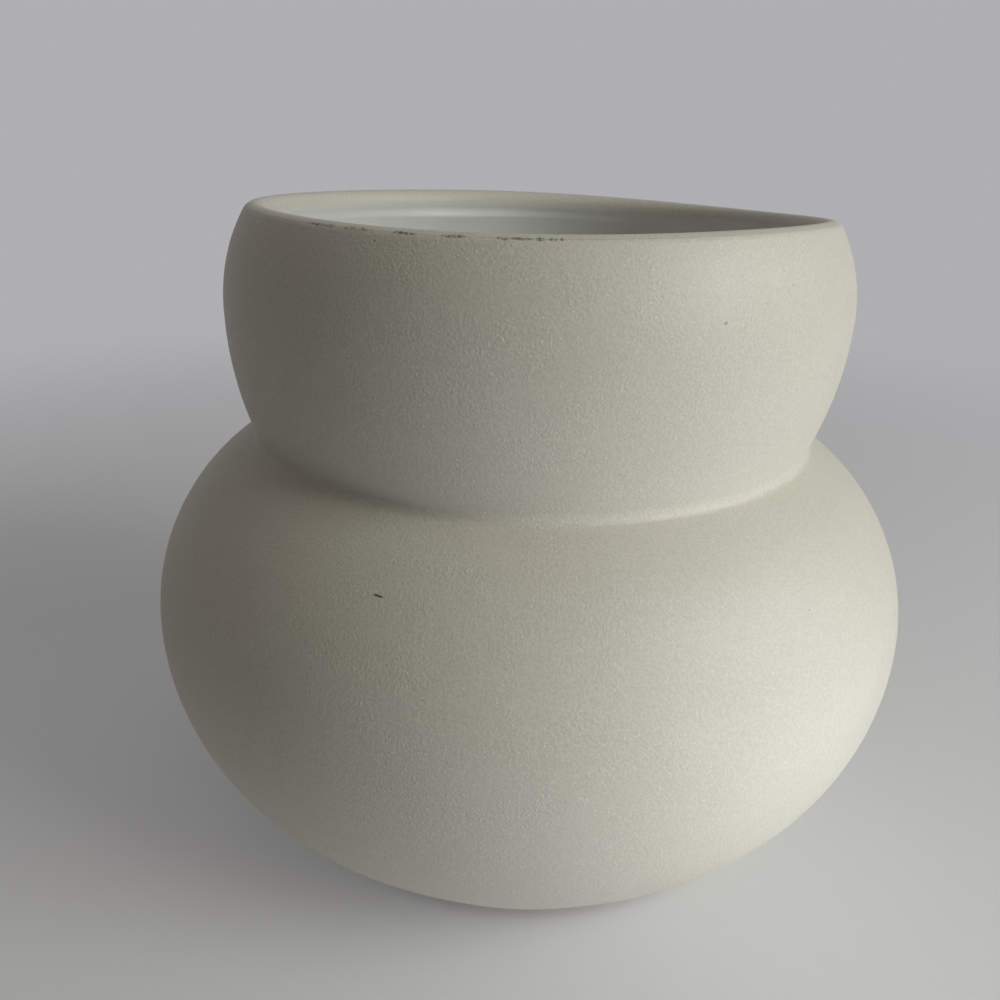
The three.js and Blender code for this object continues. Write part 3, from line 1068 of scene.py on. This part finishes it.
class GLOBEVASE_OT_slip(bpy.types.Operator):
    """Makes the V-shaped ring of slip that joins the two sections"""

    bl_idname = "globe_vase.slip"
    bl_label = "Waist slip"

    def execute(self, context):
        form, hand, look = settings(context)
        wall = Wall(form)
        half = form.slip_thickness / 2.0
        vertices, faces = turned(np.concatenate([wall.vee(-half)[::-1], wall.vee(half)]), CLAY_TURN)
        finish = clay_finish("Luting slip", look.slip, rgba(look.slip, SLIP_GROG_TONE), look.clay_height)
        placed("Waist_Slip", "waist_slip", by_hand(vertices, wall, hand), faces, finish)
        return {"FINISHED"}


class GLOBEVASE_OT_satin(bpy.types.Operator):
    """Makes the satin glaze outside, from the bevel over the foot to the seam on the lip"""

    bl_idname = "globe_vase.satin"
    bl_label = "Satin glaze"

    def execute(self, context):
        form, hand, look = settings(context)
        wall = Wall(form)
        front = wall.outside(0.0, 1.0)
        back = wall.outside(form.exterior_glaze, HIDDEN_DENSITY)[::-1]
        vertices, faces = turned(np.concatenate([front, back]), OUTSIDE_TURN)
        moved = by_hand(wavering(vertices, wall, hand), wall, hand)
        glaze = placed("Exterior_Glaze", "exterior_glaze", moved, faces, satin_finish(look))
        measure_seam(glaze, wall, vertices)
        return {"FINISHED"}


class GLOBEVASE_OT_gloss(bpy.types.Operator):
    """Makes the gloss glaze inside, from the floor to the seam on the lip"""

    bl_idname = "globe_vase.gloss"
    bl_label = "Gloss glaze"

    def execute(self, context):
        form, hand, look = settings(context)
        wall = Wall(form)
        back = wall.lining(wall.lining_back, HIDDEN_DENSITY)
        front = wall.lining(wall.full, 1.0)
        even, faces = turned(np.concatenate([back, front[::-1]]), LINING_TURN)
        thick = turned(np.concatenate([back, wall.edged(front)[::-1]]), LINING_TURN)[0]
        vertices = gathered(even, thick, hand)
        moved = by_hand(vertices, wall, hand)
        glaze = placed("Interior_Glaze", "interior_glaze", moved, faces, gloss_finish(look))
        measure_seam(glaze, wall, vertices)
        return {"FINISHED"}


class GLOBEVASE_PT_panel(bpy.types.Panel):
    """Lists the vase's operators and settings"""

    bl_idname = "GLOBEVASE_PT_panel"
    bl_label = "Globe vase"
    bl_space_type = "VIEW_3D"
    bl_region_type = "UI"
    bl_category = "Globe vase"

    def draw(self, context):
        for operator in OPERATORS:
            self.layout.operator(operator.bl_idname)
        for group in (*settings(context), context.scene.vase_stage):
            box = self.layout.box()
            for name in group.__annotations__:
                box.prop(group, name)


GROUPS = {"vase_form": VaseForm, "vase_hand": VaseHand, "vase_look": VaseLook, "vase_stage": VaseStage}
OPERATORS = (
    GLOBEVASE_OT_stage, GLOBEVASE_OT_clay, GLOBEVASE_OT_slip, GLOBEVASE_OT_satin, GLOBEVASE_OT_gloss,
)
CLASSES = (*GROUPS.values(), *OPERATORS, GLOBEVASE_PT_panel)


def register():
    for item in CLASSES:
        bpy.utils.register_class(item)
    for name, group in GROUPS.items():
        setattr(bpy.types.Scene, name, PointerProperty(type=group))


def unregister():
    for name in GROUPS:
        delattr(bpy.types.Scene, name)
    for item in reversed(CLASSES):
        bpy.utils.unregister_class(item)


def main():
    register()
    bpy.ops.globe_vase.stage()
    bpy.ops.globe_vase.clay()
    bpy.ops.globe_vase.slip()
    bpy.ops.globe_vase.satin()
    bpy.ops.globe_vase.gloss()


if __name__ == "__main__":
    main()
